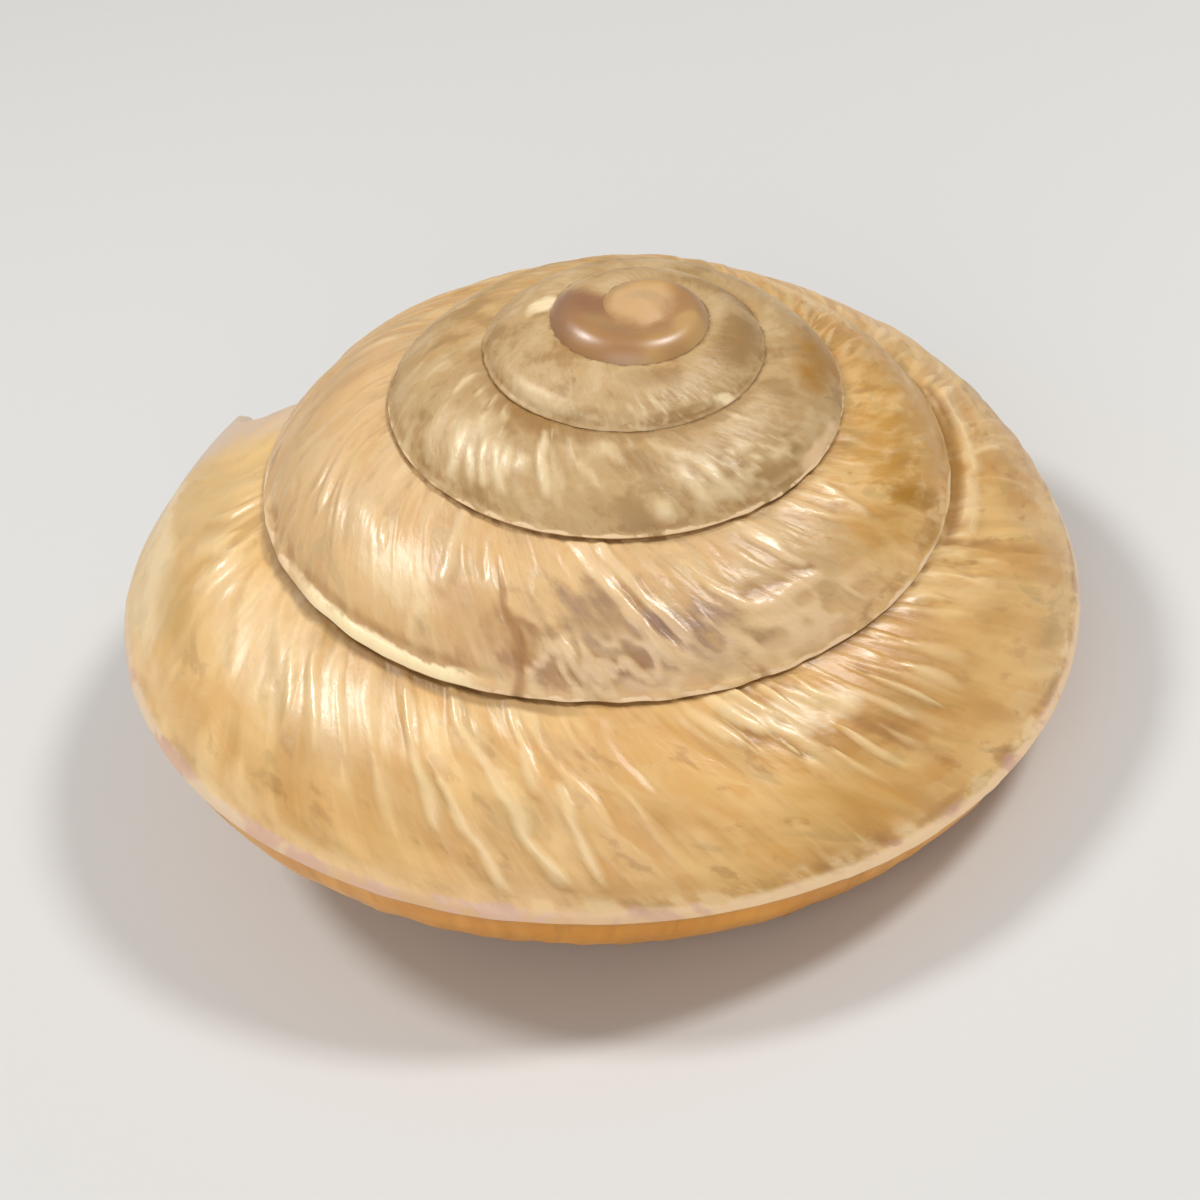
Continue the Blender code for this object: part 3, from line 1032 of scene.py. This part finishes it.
def near(at_age, reach, full):
    """A mask for the ages near this one, which is full up to so far from it."""
    return ease(abs(age - at_age), reach, full)


def paint(under, over, mask):
    """One colour laid over another, as strongly as the mask says."""
    settings = {"data_type": "RGBA", "clamp_factor": True}
    return horn.node("ShaderNodeMix", settings, {0: mask, 6: under, 7: over}, out=2)


def streaks(along, across, detail=2.0, seed=0.0, twist=0.0):
    """Noise with so many spots in a keel radius along the turn and across it."""
    scaled = vector_math("MULTIPLY", flat_grain, (along, across, 0.0))
    moved = vector_math("ADD", scaled, (seed, seed, seed))
    return horn.node("ShaderNodeTexNoise", None, {
        "Vector": moved, "Scale": 1.0, "Detail": detail, "Roughness": 0.55,
        "Distortion": twist})


def spots_of(size, detail):
    """Noise with no direction, in spots of this size."""
    return horn.node("ShaderNodeTexNoise", None, {
        "Vector": own_place, "Scale": 1.0 / size, "Detail": detail, "Roughness": 0.55})


cloud = streaks(2.4, 4.5, detail=4.0, seed=2.0)
lines = streaks(13.0, 1.6, detail=3.0, seed=5.0, twist=0.3)
fine_lines = streaks(44.0, 5.0, detail=2.0, seed=8.0)
blotch = streaks(6.5, 8.0, detail=3.0, seed=17.0, twist=1.2)
mottle = streaks(16.0, 18.0, detail=5.0, seed=12.0)
wear = spots_of(WEAR_SIZE, detail=5.0)
older = ease(age, WORN_START, WORN_START + WORN_LENGTH)
ragged = 1.6 * (mottle - 0.5) + 1.2 * (blotch - 0.5) + 1.0 * (lines - 0.5)
ragged = ragged + older * (2.6 * (wear - 0.5) - ragged)


def patch(at_age, at_place, length, width):
    """A spot with a broken outline that leans with the growth lines."""
    at_line = 2.0 * at_age - age_of(at_age, at_place)
    along = (along_turn / TURN_LENGTH - at_line) / length
    across = (place - at_place) / width
    return ease(1.0 - along * along - across * across + 1.25 * ragged, 0.0, 1.1)


print("tools ready, nodes so far:", len(horn.tree.nodes))

# %% [markdown]
# ## The horn colour
#
# A fresh shell of this kind has a thin straw-coloured skin over pale shell. The skin is
# worn to cream on the crests of the wrinkles, and the hollows between them are darker,
# partly in their own tone and partly with painted shade. Each growth stage has its own
# tone. So the ground is two tones in soft clouds, with touches of orange, olive and rose.
# Brown and cream streaks follow the growth lines, and the ridge map from the mesh says
# where the crests and the troughs are.

# %% Ground, streaks and crests
STRAW = tint(220, 178, 114)
TAN = tint(196, 148, 84)
BROWN = tint(146, 98, 50)
CREAM = tint(244, 222, 178)
OLIVE = tint(176, 146, 88)
ORANGE = tint(208, 152, 80)
ROSE = tint(214, 172, 136)

fresh = 1.0 - 0.8 * older
hollows = (1.0 - crest) * (1.0 - 0.6 * older)
colour = paint(TAN, STRAW, ease(cloud + 0.6 * (lines - 0.5), 0.38, 0.58))
colour = paint(colour, ORANGE, 0.45 * ease(blotch + 0.4 * (cloud - 0.5), 0.54, 0.62))
colour = paint(colour, OLIVE, 0.45 * ease(blotch + 0.5 * (cloud - 0.5), 0.44, 0.37))
colour = paint(colour, ROSE, 0.22 * ease(cloud - 0.3 * blotch, 0.46, 0.54))
colour = paint(colour, BROWN, 0.22 * fresh * ease(lines, 0.56, 0.74))
colour = paint(colour, CREAM, 0.08 * fresh * ease(fine_lines, 0.55, 0.72))
# brown in the troughs: partly the skin's own tone, partly painted shade
colour = paint(colour, BROWN, 0.50 * trough * ease(lines + 0.5 * mottle, 0.57, 0.77))
colour = paint(colour, CREAM, 0.46 * crest)
# darker hollows between the crests: partly own tone, partly painted shade
colour = paint(colour, BROWN, 0.35 * hollows * ease(mottle, 0.57, 0.66))

# %% [markdown]
# ## Age and wear
#
# The older turns have been in the sun and the soil for longer. They have lost their skin
# and gone grey, and their growth lines are rubbed away. Two stretches of the younger
# turns are paler than the rest. The embryo's shell at the tip was made in the egg. It is
# smooth, brown and glossy, darker where it ends, with a pale worn nucleus.

# %% Tones of the older turns
SOFT_SIZE = 1.1 * MM           # of the clouds on the embryo
NUCLEUS_SPOTS = 0.45 * MM      # of the ragged edge of the nucleus
GREY_TAN = tint(172, 143, 101)
CHALK = tint(212, 186, 144)
WORN = tint(185, 153, 108)
FADED = tint(204, 175, 138)
PALE = tint(218, 190, 148)
WORN_BROWN_AND_SHADE = tint(144, 106, 56)
CARAMEL = tint(165, 121, 70)
CARAMEL_DARK = tint(138, 92, 56)
CARAMEL_LIGHT = tint(184, 142, 84)
NUCLEUS = tint(206, 166, 114)

pale = span(age, 0.09, 0.14, 0.26, 0.36) * ease(place, 0.85, 0.60)
colour = paint(colour, FADED, 0.42 * span(age, 0.90, 1.00, 1.40, 1.50))
colour = paint(colour, PALE, 0.16 * pale)
colour = paint(colour, GREY_TAN, 0.72 * older)
colour = paint(colour, WORN, ease(age, 2.6, 3.1) * ease(wear, 0.35, 0.60))
colour = paint(colour, WORN_BROWN_AND_SHADE, 0.55 * older * ease(wear + 0.25 * (blotch - 0.5), 0.50, 0.36))
colour = paint(colour, CHALK, 0.34 * older * ease(wear + 0.15 * (lines - 0.5), 0.53, 0.64))
colour = paint(colour, CREAM, 0.45 * older * crest)

soft = spots_of(SOFT_SIZE, detail=1.0)
embryo = ease(age + 0.05 * (mottle - 0.5), EMBRYO_AGE - 0.04, EMBRYO_AGE + 0.02)
dark = 0.8 * near(EMBRYO_AGE + 0.04, 0.16, 0.02) + 0.3 * ease(soft, 0.50, 0.30)
caramel = paint(CARAMEL, CARAMEL_LIGHT, ease(soft, 0.45, 0.60))
colour = paint(colour, paint(caramel, CARAMEL_DARK, dark), embryo)
nucleus = ease(from_the_axis + 0.05 * (spots_of(NUCLEUS_SPOTS, detail=3.0) - 0.5), 0.072, 0.036)
colour = paint(colour, NUCLEUS, 0.8 * nucleus)

# %% [markdown]
# ## The keel
#
# The cord on the keel is pale, but not everywhere alike. Behind the mouth it is almost
# white, then dull, and further back pink with violet patches. On the second turn a short
# stretch stands out as a cream thread, and on the older turns bits of it have come off.
# The newest part of the turn pales towards the cord, and elsewhere a groove above the cord
# has broken brown marks.

# %% Cord, rim and groove
CORD_PINK = tint(232, 199, 158)
CORD_VIOLET = tint(212, 172, 148)
CORD_DULL = tint(210, 169, 127)
NEW_RIM = tint(220, 196, 168)
ROSE_RIM = tint(210, 172, 150)
PALE_RIM = tint(230, 194, 142)
THREAD = tint(246, 222, 176)

last = ease(age, 1.02, 0.98)
young = last * ease(age, 0.36, 0.28)
thread = ease(age, 1.12, 1.16) * ease(age + 0.03 * (blotch - 0.5), 1.262, 1.236)
patchy = blotch + 0.6 * (mottle - 0.5)
shaken = place + 0.10 * (mottle - 0.5) + 0.05 * (blotch - 0.5)
flaked = ease(blotch, 0.40, 0.52) * ease(age, 3.0, 2.7)
cord = last * ease(shaken, 0.930, 0.958) + thread * ease(shaken, 0.922, 0.940)
cord = cord + (1.0 - last - thread) * flaked * ease(shaken, 0.975, 0.992)
cord_colour = paint(CORD_PINK, CORD_VIOLET, last * ease(patchy, 0.46, 0.60))
cord_colour = paint(cord_colour, CORD_DULL, 0.9 * young * ease(age, 0.18, 0.23))
cord_colour = paint(cord_colour, NEW_RIM, 0.8 * last * ease(age, 0.24, 0.19))
cord_colour = paint(cord_colour, ROSE_RIM, young * ease(patchy, 0.46, 0.56))
cord_colour = paint(cord_colour, THREAD, thread)
rim = ease(place + 0.4 * (blotch - 0.5) + 0.2 * (lines - 0.5), 0.74, 0.92)
over_keel = ease(place, 1.012, 1.0)
colour = paint(colour, PALE_RIM, 0.5 * young * rim * over_keel)
colour = paint(colour, cord_colour, 0.9 * cord * over_keel)

marks = mottle + 0.3 * lines
groove = span(place, 0.86, 0.92, 0.94, 0.985) * (1.0 - embryo) * (1.0 - 0.5 * young)
colour = paint(colour, CREAM, 0.35 * last * groove * ease(marks, 0.64, 0.54))
colour = paint(colour, BROWN, 0.40 * groove * ease(marks, 0.62, 0.74))
# a soft brown line above the thread: painted shade in the groove
colour = paint(colour, BROWN, 0.30 * thread * span(shaken, 0.84, 0.90, 0.925, 0.945))

# %% [markdown]
# ## Suture and mouth
#
# The step under the keel is painted brown as shade, and a thin dark line of painted shade
# lies in the suture. Just below the suture two dull strips of painted shade lie under the
# older turn's rim.
# The shell nearest the mouth is the newest: plain yellow, then pinkish white at the lip.

# %% Step, strips and suture in painted shade, and lip
UNDER_RIM_SHADE = tint(156, 122, 78)
DARK_LINE_AND_SHADE = tint(112, 76, 38)
NEW_YELLOW = tint(217, 183, 126)
LIP_PINK = tint(204, 178, 152)

# painted shade on the step under the keel of the older turns
step = ease(place, 1.012, 1.025) * (1.0 - last) * ease(age, 4.75, 4.60)
colour = paint(colour, BROWN, 0.5 * step * (1.0 - 0.6 * embryo))
# two strips of painted shade on the top, just below the older turn's rim
narrow_shade_strip = ease(place + 0.06 * (mottle - 0.5), 0.085, 0.060) * near(0.19, 0.12, 0.08)
wide_shade_strip = ease(place + 0.24 * (mottle - 0.5), 0.16, 0.05) * near(2.28, 0.24, 0.14)
colour = paint(colour, UNDER_RIM_SHADE, 0.8 * narrow_shade_strip + 0.8 * wide_shade_strip)
# a thin broken line of painted shade in the suture
suture_shade = ease(place + 0.03 * (mottle - 0.5), 0.045, 0.012) * ease(age, 4.15, 3.95)
colour = paint(colour, BROWN, 0.60 * crack)
colour = paint(colour, DARK_LINE_AND_SHADE, (0.6 - 0.35 * embryo) * suture_shade * ease(blotch, 0.40, 0.55))
colour = paint(colour, NEW_YELLOW, 0.68 * ease(age + 0.1 * (lines - 0.5), 0.13, 0.05))
lip = ease(age + 0.03 * (blotch - 0.5) + 0.02 * (mottle - 0.5), 0.033, 0.010)
colour = paint(colour, LIP_PINK, 0.9 * lip)

# %% [markdown]
# ## Base and inside
#
# Light comes through the thin base, so it looks amber, with the same growth lines in
# fainter form. The inside is coated with smooth pale shell.

# %% Under the keel and behind the lip
AMBER = tint(232, 162, 62)
AMBER_DARK = tint(212, 140, 46)
PORCELAIN = tint(232, 206, 168)

base = ease(place, 1.0, 1.012) * last
under = paint(AMBER_DARK, AMBER, ease(cloud + 0.8 * (lines - 0.5), 0.35, 0.62))
under = paint(under, STRAW, 0.16 * ease(fine_lines, 0.48, 0.70) + 0.3 * ease(place, 1.5, 2.0))
under = paint(under, STRAW, 0.25 * crest)
under = paint(under, DARK_LINE_AND_SHADE, 0.14 * ease(fine_lines + 0.4 * (mottle - 0.5), 0.44, 0.32))
colour = paint(colour, under, base)
colour = paint(colour, LIP_PINK, 0.8 * base * ease(age + 0.02 * (mottle - 0.5), 0.012, 0.002))
lining = ease(within, 0.2, 0.9)
colour = paint(colour, PORCELAIN, lining)

# %% [markdown]
# ## Scars and stains
#
# Single marks make the shell this one and no other. The scars are in the mesh, and the
# crests and troughs have coloured them already. Stains are patches of colour, weaker on
# the crests, but a few cream ones are painted highlights and one dark one is a painted
# shadow under a rim. Last, the ridges of the largest mend get the pale tone of new shell.

# %% Stains, painted highlights and a painted shadow
PURPLE_GREY = tint(150, 119, 98)
OCHRE = tint(160, 110, 24)
PINK_CHALK = tint(228, 192, 150)
DEEP_TAN = tint(190, 141, 66)
FADED_BROWN = tint(150, 114, 82)

STAINS_AND_PAINTED_LIGHT = (                     # age, place, length in turns, width in places, tone, strength
    (1.320, 0.60, 0.055, 0.42, FADED_BROWN, 0.80),
    (1.337, 0.57, 0.028, 0.17, PURPLE_GREY, 0.95),
    (1.350, 0.76, 0.020, 0.14, PURPLE_GREY, 0.80),
    (1.288, 0.44, 0.014, 0.12, PURPLE_GREY, 0.45),
    (1.292, 0.82, 0.040, 0.12, BROWN, 0.60),
    (1.330, 0.90, 0.026, 0.08, PINK_CHALK, 0.65),
    (1.400, 0.88, 0.035, 0.09, PINK_CHALK, 0.55),
    (1.258, 0.70, 0.016, 0.25, BROWN, 0.45),
    # painted highlight on the second turn
    (1.185, 0.55, 0.035, 0.24, CREAM, 0.42),
    (1.502, 0.66, 0.012, 0.28, OCHRE, 1.00),
    (1.520, 0.50, 0.011, 0.18, OCHRE, 1.00),
    (1.496, 0.92, 0.014, 0.12, OCHRE, 0.70),
    (1.570, 0.22, 0.005, 0.18, BROWN, 0.70),
    (1.565, 0.55, 0.080, 0.55, DEEP_TAN, 0.95),
    (1.465, 0.60, 0.030, 0.30, DEEP_TAN, 0.65),
    (2.570, 0.62, 0.060, 0.42, OCHRE, 0.90),
    (2.385, 0.76, 0.035, 0.16, CHALK, 0.85),
    (2.460, 0.92, 0.055, 0.09, PINK_CHALK, 0.75),
    (2.180, 0.50, 0.050, 0.30, CHALK, 0.45),
    # painted shadow under the rim of the older turn above
    (2.205, 0.10, 0.065, 0.15, WORN_BROWN_AND_SHADE, 0.75),
    (3.200, 0.82, 0.075, 0.20, CHALK, 0.90),
    # painted highlight on the fourth turn, beside the embryo
    (3.020, 0.14, 0.030, 0.22, CREAM, 0.75),
    (3.360, 0.90, 0.060, 0.14, WORN_BROWN_AND_SHADE, 0.70),
    (3.425, 0.90, 0.014, 0.12, CREAM, 0.85),
    (3.520, 0.50, 0.090, 0.50, WORN_BROWN_AND_SHADE, 0.80),
    (3.330, 0.25, 0.060, 0.20, WORN_BROWN_AND_SHADE, 0.35),
    # the next three: painted highlights on the last turn
    (0.160, 0.30, 0.060, 0.30, CREAM, 0.34),
    (0.215, 0.26, 0.040, 0.18, CREAM, 0.36),
    (0.385, 0.22, 0.026, 0.14, CREAM, 0.60),
    (0.075, 0.74, 0.035, 0.25, CREAM, 0.50),
    (0.415, 0.52, 0.008, 0.24, BROWN, 0.60),
    (0.115, 0.58, 0.022, 0.16, OLIVE, 0.40),
    (0.475, 0.52, 0.050, 0.40, STRAW, 0.35),
    (0.300, 0.86, 0.060, 0.07, OCHRE, 0.18),
    (0.390, 0.64, 0.030, 0.26, DEEP_TAN, 0.45),
    (0.430, 0.66, 0.040, 0.22, ORANGE, 0.30),
    (0.560, 0.04, 0.060, 0.07, OCHRE, 0.60),
    (0.530, 0.50, 0.010, 0.45, TAN, 0.80),
)
for at_age, at_place, length, width, mark_tone, strength in STAINS_AND_PAINTED_LIGHT:
    mask = strength * patch(at_age, at_place, length, width) * (1.0 - 0.6 * crest)
    colour = paint(colour, mark_tone, mask)

mended = span(age, 1.25, 1.28, 1.42, 1.46) * ease(crest, 0.35, 0.80)
colour = paint(colour, PINK_CHALK, 0.34 * mended)

# %% [markdown]
# ## Shine and fine relief
#
# The skin has a satin shine, brighter where it is rubbed. The embryo is glossy, so it
# gets a clear coat. A little light enters the wall and comes out again beside where it
# went in, and subsurface scattering gives that soft depth. One bump adds what is too fine
# for the mesh: the thinnest growth lines, and a grain like skin.

# %% Shader of the shell
LINE_BUMP = 0.007              # height of the thinnest growth lines, in mm ...
GRAIN_BUMP = 0.028             # ... and of the grain

roughness = 0.28 + 0.16 * mottle + 0.08 * older - 0.12 * crest
roughness = roughness - 0.08 * embryo - 0.06 * lining
height = LINE_BUMP * fine_lines * (1.0 - older) + GRAIN_BUMP * mottle
bump = horn.node("ShaderNodeBump", None, {
    "Height": height * (1.0 - embryo), "Distance": MM, "Strength": 0.8}, out="Normal")
horn.feed(horn.shader, {
    "Base Color": colour,
    "Roughness": roughness,
    "Normal": bump,
    "IOR": 1.5,
    "Subsurface Weight": 0.25,
    "Subsurface Radius": (1.0, 0.6, 0.3),
    "Subsurface Scale": 0.25 * MM,
    "Coat Weight": embryo + 0.3 * lining,
    "Coat Roughness": 0.38,
})
mesh.materials.append(horn.material)
print("nodes in the finish:", len(horn.tree.nodes))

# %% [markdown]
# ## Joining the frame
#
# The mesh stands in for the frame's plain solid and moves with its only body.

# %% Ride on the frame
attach(shell, "root")
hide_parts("shell")

# %% [markdown]
# ## Studio
#
# A pale floor and three soft lights. Two small ones stand high on the left and the right,
# and they draw the two rows of highlights on the turns. A large one in front lights the
# wrinkles from low down, and the sky fills the shadows.

# %% Floor and lights
FLOOR_SIZE = 3.0               # metres
SKY_STRENGTH = 0.32
floor_mesh = bpy.data.meshes.new("studio_floor")
half = FLOOR_SIZE / 2
floor_mesh.from_pydata([(-half, -half, 0), (half, -half, 0), (half, half, 0), (-half, half, 0)],
                       [], [(0, 1, 2, 3)])
floor = bpy.data.objects.new("studio_floor", floor_mesh)
bpy.context.scene.collection.objects.link(floor)
plain = Finish("pale floor")
plain.feed(plain.shader, {"Base Color": (0.62, 0.61, 0.59, 1.0), "Roughness": 0.9})
floor_mesh.materials.append(plain.material)

middle = Vector((low + high) / 2)
LIGHTS = {                     # direction from the shell, distance, size and power
    "left": ((-0.50, 0.10, 0.80), 0.110, 0.024, 0.058),
    "right": ((0.54, 0.02, 0.82), 0.110, 0.024, 0.061),
    "front": ((-0.10, -0.85, 0.45), 0.160, 0.140, 0.090),
}
for name, (towards, distance, size, power) in LIGHTS.items():
    data = bpy.data.lights.new(name, "AREA")
    data.shape = "DISK"
    data.size = size
    data.energy = power
    lamp = bpy.data.objects.new(name, data)
    lamp.location = middle + distance * Vector(towards).normalized()
    lamp.rotation_euler = (lamp.location - middle).to_track_quat("Z", "Y").to_euler()
    bpy.context.scene.collection.objects.link(lamp)

world = bpy.data.worlds.new("studio")
world.use_nodes = True
sky = world.node_tree.nodes["Background"]
sky.inputs["Color"].default_value = (1.0, 1.0, 1.0, 1.0)
sky.inputs["Strength"].default_value = SKY_STRENGTH
bpy.context.scene.world = world
bpy.context.scene.view_settings.view_transform = "Standard"

# %% [markdown]
# ## Camera
#
# The camera looks down on the front of the shell. It is placed in the coil's own upright
# frame and then tipped with the shell, so the coil keeps its looks however it lies.

# %% Camera
CAMERA_DISTANCE = 43.65 * MM
CAMERA_ABOVE = 42.0            # degrees over the coil's own level
CAMERA_ROLL = 1.6              # degrees
AIM_HEIGHT = -0.13 * MM        # on the axis
SENSOR = 36.0                  # mm, like the lens
LENS = 75.8
LENS_SHIFT = (-0.0283, 0.0158)     # in widths of the picture
camera_data = bpy.data.cameras.new("camera")
camera_data.sensor_width = SENSOR
camera_data.lens = LENS
camera_data.shift_x, camera_data.shift_y = LENS_SHIFT
camera_data.clip_start = 1.0 * MM
camera_data.clip_end = 10.0
camera = bpy.data.objects.new("camera", camera_data)
above = math.radians(CAMERA_ABOVE)
stand = Vector((0.0, -math.cos(above), math.sin(above))) * CAMERA_DISTANCE
stand.z += AIM_HEIGHT
turn = Euler((math.pi / 2 - above, 0.0, 0.0)).to_matrix() @ Matrix.Rotation(
    math.radians(CAMERA_ROLL), 3, "Z")
camera.matrix_world = laid_down @ Matrix.Translation(stand) @ turn.to_4x4()
bpy.context.scene.collection.objects.link(camera)
bpy.context.scene.camera = camera
print("camera at, in mm:", [round(part / MM, 1) for part in camera.location])
